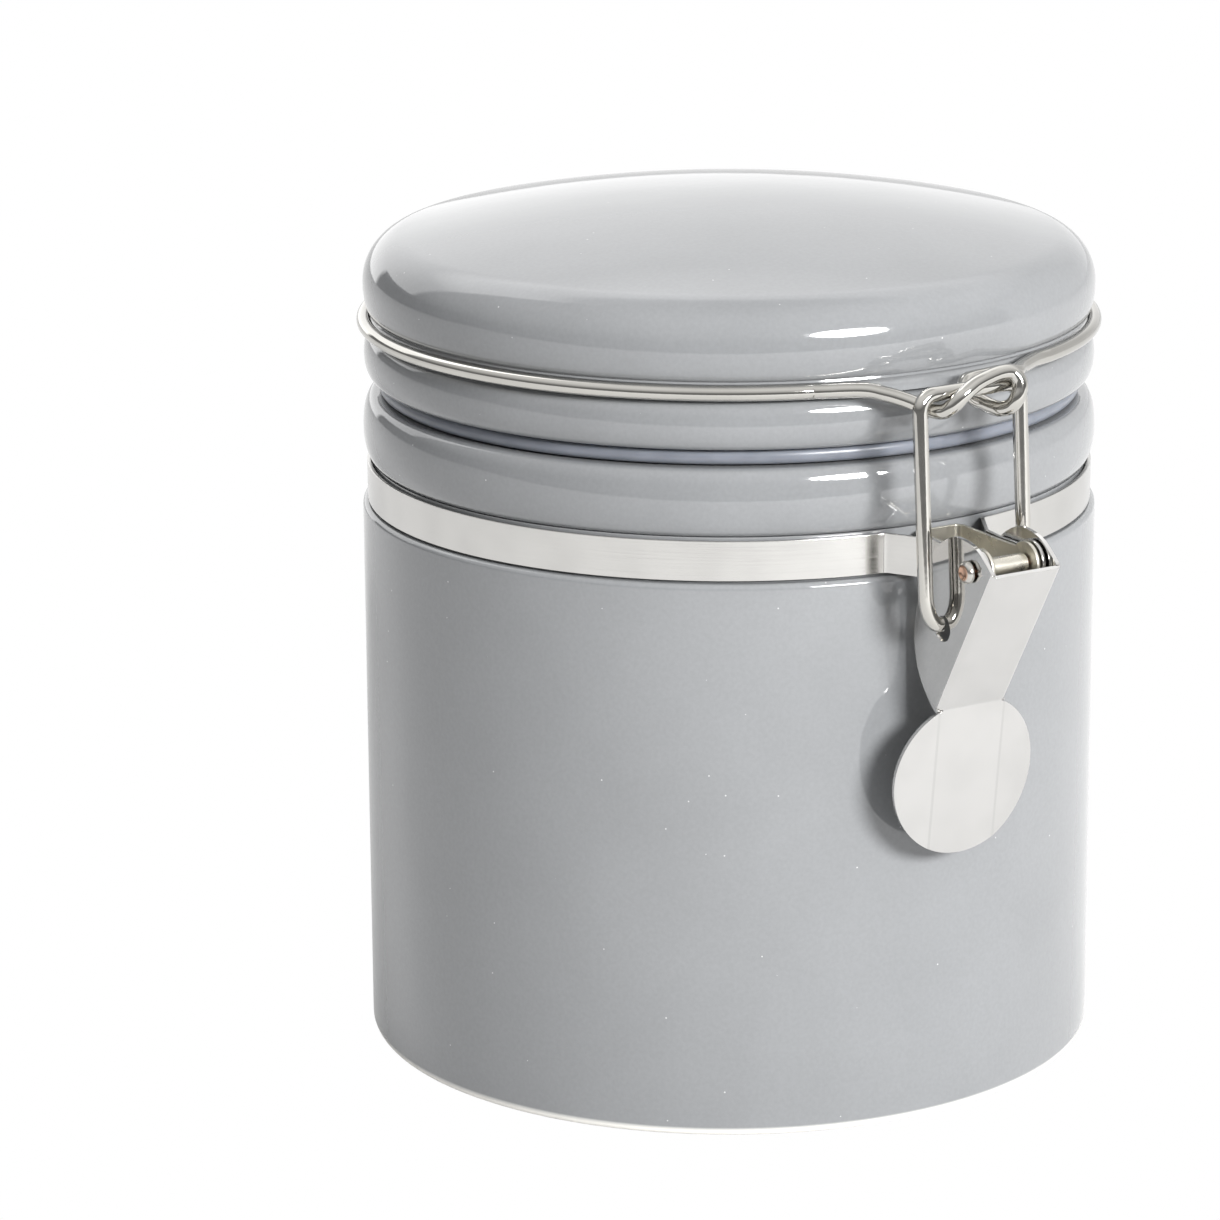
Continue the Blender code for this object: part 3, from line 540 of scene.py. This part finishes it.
class JAR_OT_lid(bpy.types.Operator):
    """Turn the glazed lid with its low dome, wire groove, lower bead and hollow plug"""
    bl_idname = "jar.lid"
    bl_label = "Lid"

    def execute(self, context):
        shape = context.scene.jar_shape
        lip, lip_height, groove = 1.2 * MM, 4.7 * MM, 1.5 * MM
        seat, seat_height = 49.8 * MM, 3.6 * MM
        plug, hollow, edge, roof_sag = 46.5 * MM, 40.5 * MM, 1 * MM, 7 * MM
        widest = WIRE_HEIGHT + 6.2 * MM
        low = PLUG_LOW + 9.5 * MM
        roof = LID_TOP - 7 * MM
        side = LID_RADIUS - shape.lid_shoulder
        rise = math.sqrt((shape.lid_crown - shape.lid_shoulder) ** 2 - side ** 2)
        lean = math.degrees(math.atan2(side, rise))
        profile = arc((0.0, widest - rise), shape.lid_crown, 90, 90 - lean, 24)
        profile += arc((side, widest), shape.lid_shoulder, 90 - lean, 0, 20)[1:]
        profile += arc((LID_RADIUS - lip, widest), lip, 0, -90, 12, lip_height / lip)[1:]
        profile += arc((WIRE_RING, WIRE_HEIGHT), groove, 130, 230, 10)
        profile += bead(LID_RADIUS - shape.bead_bulge, shape.bead_bulge, low,
                        WIRE_HEIGHT - groove, 24)
        profile += [(seat, low), (seat, low - seat_height)]
        profile += arc((plug - edge, PLUG_LOW + edge), edge, 0, -90, 6)
        profile += [(hollow, PLUG_LOW), (hollow, low + edge)]
        profile += [(hollow * s, roof - roof_sag * s ** 4)
                    for s in (0.97, 0.94, 0.9, 0.85, 0.79, 0.72, 0.64, 0.54, 0.42, 0.28, 0.14, 0.0)]
        bm = turned_upright(profile, shape.turn_steps)
        finish_piece("lid_glazed", bm, "lid", "grey_glaze_fired", ["lid"])
        return {"FINISHED"}


class JAR_OT_ring(bpy.types.Operator):
    """Turn the silicone sealing ring with its round outer face"""
    bl_idname = "jar.ring"
    bl_label = "Sealing ring"

    def execute(self, context):
        bore, bulge = 50.1 * MM, 0.8 * MM
        middle, half = (RING_LOW + RING_HIGH) / 2, (RING_HIGH - RING_LOW) / 2
        face = arc((RING_RADIUS - bulge, middle), bulge, 90, -90, 16, half / bulge)
        profile = [(bore, RING_HIGH), *face, (bore, RING_LOW)]
        bm = turned_upright(profile, context.scene.jar_shape.turn_steps, closed=True)
        finish_piece("lid_gasket_silicone", bm, "lid", "sealing_ring_silicone",
                     ["lid_gasket"])
        return {"FINISHED"}


def drilled_ear(bm, edges, x, route, waist, eye):
    """Extrude a strip's end edge along the route and to the ear's waist, and close it with an eye.

    The route holds the places in Y before the waist, and the waist its way and half width from
    the rivet.
    """
    for y, half in (*((y, None) for y in route), (PIVOT.y + waist[0], waist[1])):
        fresh, edges = extruded(bm, edges)
        for v in fresh:
            z = v.co.z if half is None else PIVOT.z + math.copysign(half, v.co.z - PIVOT.z)
            v.co = (x, y, z)
    tips = sorted(fresh, key=lambda v: v.co.z)
    reach = 180 - math.degrees(math.asin(waist[1] / eye))
    rim = [bm.verts.new((x, PIVOT.y - out, PIVOT.z + up))
           for out, up in arc((0.0, 0.0), eye, -reach, reach, 40)]
    fill_plate(bm, [tips[1], tips[0], *rim], [((x, PIVOT.y, PIVOT.z), RIVET_HOLE)])


class JAR_OT_band(bpy.types.Operator):
    """Spin the steel strip round the neck and bend its ends into drilled ears for the rivet"""
    bl_idname = "jar.band"
    bl_label = "Neck band"

    def execute(self, context):
        shape = context.scene.clasp_shape
        radius, half_gap = 58.9 * MM, 9.1 * MM
        ear_x, bend_y, bend_width = 5.05 * MM, -65.0 * MM, 0.5 * MM
        waist, eye = (8.0 * MM, 2.3 * MM), 3.5 * MM
        gap = math.asin(half_gap / radius)
        start = Vector((radius * math.sin(gap), -radius * math.cos(gap), 0.0))
        bm = bmesh.new()
        verts = [bm.verts.new(start + Vector((0, 0, z))) for z in (BAND_LOW, BAND_HIGH)]
        edge = bm.edges.new(verts)
        bmesh.ops.spin(bm, geom=[*verts, edge], cent=(0, 0, 0), axis=(0, 0, 1),
                       angle=2 * (math.pi - gap), steps=160, use_merge=False, use_duplicate=False)
        for side in (1, -1):
            ends = {v for v in bm.verts if near(v.co.x, side * start.x) and v.co.y < 0}
            edges = [e for e in bm.edges if set(e.verts) <= ends]
            drilled_ear(bm, edges, side * ear_x, [bend_y], waist, eye)
        bends = []
        for e in bm.edges:
            one, other = (v.co for v in e.verts)
            upright = near(one.x, other.x) and near(one.y, other.y) and one.y < 0
            if upright and (near(abs(one.x), start.x) or near(one.y, bend_y)):
                bends.append(e)
        round_edges(bm, bends, bend_width, 4)
        piece = finish_piece("neck_band_strip", bm, "jar", "band_steel",
                             ["neck_band"])
        sheet_thickness(piece, shape.strip, shape.edge)
        return {"FINISHED"}


class JAR_OT_rivet(bpy.types.Operator):
    """Turn the rivet with its two set heads, and the spacer tube on it"""
    bl_idname = "jar.rivet"
    bl_label = "Rivet and spacer"

    def execute(self, context):
        # (past the side plate, radius) in mm: the set centre, the round head and the shank
        centre = [(0.72, 0.0), (0.72, 0.62), (0.80, 0.78), (0.98, 0.92)]
        head = [(x, r) for r, x in arc((0.92, 0.22), 0.83, 84, 0, 10)]
        shank = [(0.06, 1.75), (0.0, 1.69), (0.0, 0.8)]
        half = [(PLATE_CLEAR + x * MM, r * MM) for x, r in centre + head + shank]
        bm = turned_on_rivet(half + [(-x, r) for x, r in reversed(half)])
        finish_piece("pivot_rivet_set", bm, "jar", "rivet_copper_centre",
                     ["pivot_rivet"])
        reach, outer, edge = 3.55 * MM, 1.6 * MM, 0.1 * MM
        half = [(reach - edge, outer), (reach, outer - edge), (reach, RIVET_HOLE)]
        bm = turned_on_rivet([(-x, r) for x, r in reversed(half)] + half, closed=True)
        finish_piece("pivot_sleeve_tube", bm, "jar", "saddle_steel",
                     ["pivot_sleeve"])
        return {"FINISHED"}


# The lid wire's front loop: (sideways, outward from the bar, up from the bar) in wire diameters.
# It stands clear of the bail's corners all through the bail's swing.
LOOP = [
    (-5.83, -3.42, 0.00), (-4.75, -2.38, -0.21), (-3.75, -1.46, -0.58), (-2.88, -0.58, -1.04),
    (-2.29, 0.25, -1.13), (-1.83, 0.83, -0.67), (-1.25, 1.08, 0.00), (-0.25, 1.00, 0.54),
    (0.96, 0.83, 0.83), (1.92, 0.75, 0.96), (2.62, 0.79, 0.90), (3.02, 1.00, 0.52),
    (3.09, 1.16, -0.04), (2.84, 1.18, -0.71), (2.58, 0.88, -1.25), (2.21, 0.33, -1.50),
    (1.92, -0.33, -1.42), (1.62, -0.92, -1.21), (1.21, -1.42, -0.92), (1.04, -1.88, -0.46),
    (1.33, -2.27, -0.10), (1.96, -2.38, 0.02), (2.92, -2.29, 0.10), (3.92, -2.25, 0.17),
    (4.67, -2.25, 0.17), (5.42, -2.46, 0.04), (6.50, -3.38, 0.00),
]


def ring_point(degrees):
    """A point on the lid wire's ring, by its angle from the front."""
    a = math.radians(degrees)
    return Vector((WIRE_RING * math.sin(a), -WIRE_RING * math.cos(a), WIRE_HEIGHT))


def hinge_end(side):
    """One end of the lid wire, from its tip in the barrel up its leg to the ring."""
    tip_x, leg_x, bend = side * 0.6 * MM, side * 8.5 * MM, 2.2 * MM
    points = [Vector((tip_x, HINGE.y, HINGE.z))]
    points += [Vector((leg_x - side * (bend - out), HINGE.y, HINGE.z + bend - down))
               for out, down in arc((0.0, 0.0), bend, 90, 0, 10)]
    knee = Vector((leg_x, HINGE.y, WIRE_HEIGHT - bend))
    elbow = Vector((leg_x, HINGE.y - WIRE_RADIUS / 3, WIRE_HEIGHT - WIRE_RADIUS / 3))
    on_ring = Vector((leg_x + side * 2 * WIRE_RADIUS, WIRE_RING, WIRE_HEIGHT))
    return points + smooth_run([knee, elbow, on_ring], 8)


class JAR_OT_wires(bpy.types.Operator):
    """Draw the lid wire with its front loop and hinge legs, and the bail"""
    bl_idname = "jar.wires"
    bl_label = "Wires"

    def execute(self, context):
        sides = context.scene.clasp_shape.wire_sides
        loop = [BAR + Vector((x, -out, up)) * 2 * WIRE_RADIUS for x, out, up in LOOP]
        left = [ring_point(a / 2) for a in range(-324, -39, 3)]
        right = [ring_point(a / 2) for a in range(48, 325, 3)]
        front = smooth_run([left[-1], ring_point(-20), *loop, ring_point(20), right[0]], 9)
        route = hinge_end(-1) + left[:-1] + front + right[1:] + list(reversed(hinge_end(1)))
        bm = swept(route, WIRE_RADIUS, sides)
        finish_piece("lid_wire_drawn", bm, "lid", "wire_nickel", ["lid_wire"])
        leg, corner, knuckle = 9.3 * MM, 2.6 * MM, 0.3 * MM
        end_y = PIVOT.y - HOOK_OUT
        end_z = PIVOT.z + HOOK_UP + HOOK_HOLE - WIRE_RADIUS
        start = PLATE_CLEAR + knuckle
        inset = leg - start
        lean = (BAR.y - end_y) / (BAR.z - end_z)
        half = [(PLATE_CLEAR, end_z)] + arc((start, end_z + 2 * inset), inset, -90, 0, 14, 2.0)
        half += arc((leg - corner, BAR.z - corner), corner, 0, 90, 12)
        half = [Vector((x, end_y + lean * (z - end_z), z)) for x, z in half]
        route = [Vector((-p.x, p.y, p.z)) for p in half] + list(reversed(half))
        bm = swept(route, WIRE_RADIUS, sides)
        finish_piece("bail_drawn", bm, "bail", "wire_nickel", ["bail"])
        return {"FINISHED"}


# The lever's side plate: (outward, up) from the rivet in mm, from the upper to the lower fold
PLATE = [
    (6.20, 0.20), (1.79, 3.64), (-2.50, 4.63), (-5.30, 4.18), (-8.69, 2.04), (-10.90, -1.25),
    (-13.25, -6.97), (-14.35, -12.45), (-13.59, -17.55), (-11.59, -21.17), (-8.83, -24.10),
    (-7.60, -23.80),
]


def from_rivet(x, point):
    """A place at X, with the point's way outward and up from the rivet."""
    return Vector((x, PIVOT.y - point[0], PIVOT.z + point[1]))


def lever_channel(bm, upper, lower, inward, fold):
    """Fold the lever's web and its two drilled side plates."""
    corner = arc((PLATE_X - fold, fold), fold, 0, -90, 5)
    section = corner + [(-x, d) for x, d in reversed(corner)]
    starts = [bm.verts.new(from_rivet(x, upper + inward * d)) for x, d in section]
    edges = [bm.edges.new(pair) for pair in zip(starts, starts[1:])]
    ends, _ = extruded(bm, edges)
    bmesh.ops.translate(bm, verts=ends, vec=from_rivet(0.0, lower) - from_rivet(0.0, upper))
    outline = smooth_run([(out, up, 0.0) for out, up in PLATE], 6)[1:-1]
    for x in (PLATE_X, -PLATE_X):
        first, last = ([v for v in group if near(v.co.x, x)][0] for group in (starts, ends))
        rim = [bm.verts.new(from_rivet(x, p * MM)) for p in outline]
        fill_plate(bm, [first, *rim, last], [(from_rivet(x, (0.0, 0.0)), RIVET_HOLE),
                                             (from_rivet(x, (HOOK_OUT, HOOK_UP)), HOOK_HOLE)])


def thumb_tab(bm, stem):
    """A round tab under a stem of that half width, with its sides turned back at creases."""
    radius, drop, wing_turn = 12.95 * MM, 11.9 * MM, 7.5
    crease_width, crease_rise = 0.3 * MM, 0.06 * MM
    reach = math.degrees(math.acos(stem / radius))
    disc = arc((0.0, -drop), radius, reach, -180 - reach, 72)
    outline = [bm.verts.new((x, 0.0, z)) for x, z in [(stem, 0.0), *disc, (-stem, 0.0)]]
    bm.faces.new(outline)
    tab = set(outline)
    for side in (1, -1):
        crease = (side * CREASE_X, 0.0, 0.0)
        faces = {f for v in tab for f in v.link_faces}
        cut = bmesh.ops.bisect_plane(
            bm, geom=[*tab, *{e for f in faces for e in f.edges}, *faces], plane_co=crease,
            plane_no=(1, 0, 0), dist=0.001 * MM)
        tab |= {g for g in cut["geom_cut"] if isinstance(g, bmesh.types.BMVert)}
        wing = [v for v in tab if side * v.co.x > CREASE_X + TOLERANCE]
        bmesh.ops.rotate(bm, verts=wing, cent=crease,
                         matrix=Matrix.Rotation(math.radians(side * wing_turn), 3, "Z"))
    creases = [e for e in bm.edges if set(e.verts) <= tab
               and all(near(abs(v.co.x), CREASE_X) for v in e.verts)]
    rounded = round_edges(bm, creases, crease_width, 2)
    ridge = [v for v in rounded if abs(abs(v.co.x) - CREASE_X) < crease_width / 3]
    bmesh.ops.translate(bm, verts=ridge, vec=(0.0, -crease_rise, 0.0))
    return [v for v in tab if v.is_valid and v not in rounded] + list(rounded)


class JAR_OT_lever(bpy.types.Operator):
    """Fold the lever's channel and its round thumb tab from one sheet"""
    bl_idname = "jar.lever"
    bl_label = "Lever"

    def execute(self, context):
        shape = context.scene.clasp_shape
        fold, tab_lean, seam_width = 0.55 * MM, math.radians(6.8), 0.7 * MM
        upper, lower = Vector(PLATE[0]) * MM, Vector(PLATE[-1]) * MM
        along = (lower - upper).normalized()
        inward = Vector((along.y, -along.x))
        upper, lower = upper + inward * shape.sheet / 2, lower + inward * shape.sheet / 2
        bm = bmesh.new()
        lever_channel(bm, upper, lower, inward, fold)
        tab = thumb_tab(bm, PLATE_X - fold)
        hang = Matrix.Translation(from_rivet(0.0, lower)) @ Matrix.Rotation(tab_lean, 4, "X")
        bmesh.ops.transform(bm, verts=tab, matrix=hang)
        bmesh.ops.remove_doubles(bm, verts=bm.verts, dist=TOLERANCE)
        seam = [e for e in bm.edges if len(e.link_faces) == 2
                and all((v.co - from_rivet(v.co.x, lower)).length < 2 * TOLERANCE for v in e.verts)]
        round_edges(bm, seam, seam_width, 4)
        lever = finish_piece("lever_pressed", bm, "lever", "lever_steel",
                             ["lever"], sharp=50.0)
        sheet_thickness(lever, shape.sheet, shape.edge)
        return {"FINISHED"}


class JAR_OT_saddle(bpy.types.Operator):
    """Bend the clasp's saddle, whose drilled sides stand between the band's ears"""
    bl_idname = "jar.saddle"
    bl_label = "Clasp saddle"

    def execute(self, context):
        shape = context.scene.clasp_shape
        waist, eye = (8.0 * MM, 2.2 * MM), 3.3 * MM
        trim, bend_width = 0.1 * MM, 1.4 * MM
        side_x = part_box("clasp_saddle")[1].x - shape.strip / 2
        web_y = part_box("clasp_saddle")[1].y - shape.strip / 2
        bm = bmesh.new()
        verts = [bm.verts.new((-side_x, web_y, z)) for z in (BAND_LOW + trim, BAND_HIGH - trim)]
        first = bm.edges.new(verts)
        fresh, (last,) = extruded(bm, [first])
        bmesh.ops.translate(bm, verts=fresh, vec=(2 * side_x, 0.0, 0.0))
        drilled_ear(bm, [last], side_x, [], waist, eye)
        drilled_ear(bm, [first], -side_x, [], waist, eye)
        round_edges(bm, [first, last], bend_width, 5)
        piece = finish_piece("clasp_saddle_bent", bm, "jar", "saddle_steel",
                             ["clasp_saddle"])
        sheet_thickness(piece, shape.strip, shape.edge)
        return {"FINISHED"}


class JAR_OT_clip(bpy.types.Operator):
    """Give the hinge clip its steel"""
    bl_idname = "jar.clip"
    bl_label = "Hinge clip"

    def execute(self, context):
        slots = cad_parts["hinge_clip"].data.materials
        slots.clear()
        slots.append(material("band_steel"))
        return {"FINISHED"}


# Studio. The camera looks along a line turned from the clasp and down on the jar.

VIEW_AZIMUTH, VIEW_PITCH = math.radians(33.0), math.radians(15.36)
TO_RIGHT = (math.cos(VIEW_AZIMUTH), -math.sin(VIEW_AZIMUTH), 0.0)
TO_CAMERA = (-math.sin(VIEW_AZIMUTH), -math.cos(VIEW_AZIMUTH), 0.0)
CAMERA_OUT, CAMERA_UP = 0.7661, 0.280
FOCAL_MM, SENSOR_MM, SHIFT_X = 141.6, 36.0, -0.0975
KEY_PLACE, KEY_AIM = (0.213, -2.438, 1.09), (0.0, 0.0, 0.1)
KEY_SIZE, KEY_POWER = (1.12, 0.64), 127.0

# The room's brightness behind the jar and on the camera's side: (height of the ray, value),
# from level at 0 to straight up at 1
BEHIND = [(0.0, 0.45), (0.24, 0.41), (0.52, 0.42), (0.66, 0.64), (0.85, 0.64), (0.91, 0.36),
          (1.0, 0.24)]
BEFORE = [(0.0, 0.10), (0.16, 0.08), (0.42, 0.26), (0.75, 0.4), (0.92, 0.42), (1.0, 0.33)]
ROOM_STRENGTH = 2.4


def key_light():
    """One oval soft box high in front."""
    light = bpy.data.lights.new("key_softbox", "AREA")
    light.shape = "ELLIPSE"
    light.size, light.size_y = KEY_SIZE
    light.energy = KEY_POWER
    lamp = bpy.data.objects.new("key_softbox", light)
    lamp.location = KEY_PLACE
    lamp.rotation_euler = (Vector(KEY_AIM) - Vector(KEY_PLACE)).to_track_quat("-Z", "Y").to_euler()
    bpy.context.scene.collection.objects.link(lamp)


def photo_camera():
    """The camera with the photograph's view."""
    camera = bpy.data.cameras.new("photo_camera")
    camera.sensor_width = SENSOR_MM
    camera.lens = FOCAL_MM
    camera.shift_x = SHIFT_X
    camera.clip_start = 0.05
    eye = bpy.data.objects.new("photo_camera", camera)
    eye.location = Vector(TO_CAMERA) * CAMERA_OUT + Vector((0.0, 0.0, CAMERA_UP))
    look = -Vector(TO_CAMERA) * math.cos(VIEW_PITCH) - Vector((0.0, 0.0, math.sin(VIEW_PITCH)))
    eye.rotation_euler = look.to_track_quat("-Z", "Y").to_euler()
    bpy.context.scene.collection.objects.link(eye)
    bpy.context.scene.camera = eye


def seen_white(tree, shader):
    """Let the camera see plain white where the room would be, and the rest see the shader."""
    white = place(tree, "ShaderNodeEmission", in_Color=(1.0, 1.0, 1.0, 1.0), in_Strength=1.0)
    by_camera = place(tree, "ShaderNodeLightPath").outputs["Is Camera Ray"]
    return feed(tree, place(tree, "ShaderNodeMixShader"), by_camera, shader,
                white.outputs[0]).outputs[0]


def studio_world():
    """A white sweep behind with a bright bank over it, and a dim room on the camera's side."""
    world = bpy.data.worlds.new("studio")
    world.use_nodes = True
    tree = world.node_tree
    tree.nodes.clear()
    ray = coordinates(tree, "Generated")
    up = separate(tree, ray)["Z"]
    rightward, nearer = (vector_maths(tree, "DOT_PRODUCT", ray, way)
                         for way in (TO_RIGHT, TO_CAMERA))
    # The sweep is brighter on the left
    dimmer = remap(tree, rightward, -0.5, 0.5, 1.6, 0.72)
    behind = blend_colours(tree, 1.0, ramp(tree, up, BEHIND), dimmer, "MULTIPLY")
    # The dim side comes round further low on the left, and all the more far to the left
    low_left = maths(tree, "MULTIPLY", maths(tree, "LESS_THAN", rightward, 0.0),
                     maths(tree, "LESS_THAN", up, 0.22))
    leant = maths(tree, "ADD", nearer, remap(tree, rightward, -0.4, -1.0, 0.0, 0.48))
    before = remap(tree, maths(tree, "MULTIPLY_ADD", low_left, 0.55, leant), -0.13, -0.07)
    light = place(tree, "ShaderNodeBackground", in_Strength=ROOM_STRENGTH)
    tree.links.new(blend_colours(tree, before, behind, ramp(tree, up, BEFORE)),
                   light.inputs["Color"])
    feed(tree, place(tree, "ShaderNodeOutputWorld"), seen_white(tree, light.outputs[0]))
    bpy.context.scene.world = world


def pale_floor():
    """A matt floor that ends a little way before the jar and goes far behind it."""
    before_jar, half_size, drop, grey = 0.65, 4.0, 0.2 * MM, 0.62
    bm = bmesh.new()
    bmesh.ops.create_grid(bm, x_segments=1, y_segments=1, size=half_size,
                          matrix=Matrix.Rotation(-VIEW_AZIMUTH, 4, "Z")
                          @ Matrix.Translation((0.0, half_size - before_jar, 0.0)))
    mesh = bpy.data.meshes.new("studio_floor")
    bm.to_mesh(mesh)
    bm.free()
    paint, tree, shader = new_material("pale_floor", Roughness=0.9,
                                       Base_Color=(grey, grey, grey, 1.0))
    tree.links.new(seen_white(tree, shader.outputs[0]),
                   tree.nodes["Material Output"].inputs["Surface"])
    mesh.materials.append(paint)
    floor = bpy.data.objects.new("studio_floor", mesh)
    bpy.context.scene.collection.objects.link(floor)
    floor.location.z = -drop


class JAR_OT_studio(bpy.types.Operator):
    """Set the pale floor, the room, the key light and the camera"""
    bl_idname = "jar.studio"
    bl_label = "Studio"

    def execute(self, context):
        context.scene.view_settings.view_transform = "Standard"
        studio_world()
        pale_floor()
        key_light()
        photo_camera()
        return {"FINISHED"}


OPERATORS = (JAR_OT_studio, JAR_OT_body, JAR_OT_lid, JAR_OT_ring, JAR_OT_band, JAR_OT_rivet,
             JAR_OT_saddle, JAR_OT_wires, JAR_OT_lever, JAR_OT_clip)
GROUPS = {"jar_shape": JarShape, "clasp_shape": ClaspShape, "jar_colours": JarColours}


class JAR_PT_panel(bpy.types.Panel):
    """Lists the jar's settings and its pieces"""
    bl_idname = "JAR_PT_panel"
    bl_label = "Clamp-lid jar"
    bl_space_type = "VIEW_3D"
    bl_region_type = "UI"
    bl_category = "Jar"

    def draw(self, context):
        for group in GROUPS:
            settings = getattr(context.scene, group)
            box = self.layout.box()
            for key in settings.bl_rna.properties.keys():
                if key not in ("rna_type", "name"):
                    box.prop(settings, key)
        for operator in OPERATORS:
            self.layout.operator(operator.bl_idname)


def register():
    for group in GROUPS.values():
        bpy.utils.register_class(group)
    for name, group in GROUPS.items():
        setattr(bpy.types.Scene, name, PointerProperty(type=group))
    for kind in (*OPERATORS, JAR_PT_panel):
        bpy.utils.register_class(kind)


def unregister():
    for kind in (JAR_PT_panel, *reversed(OPERATORS)):
        bpy.utils.unregister_class(kind)
    for name, group in reversed(GROUPS.items()):
        delattr(bpy.types.Scene, name)
        bpy.utils.unregister_class(group)


def main():
    register()
    for operator in OPERATORS:
        group, name = operator.bl_idname.split(".")
        getattr(getattr(bpy.ops, group), name)()


if __name__ == "__main__":
    main()
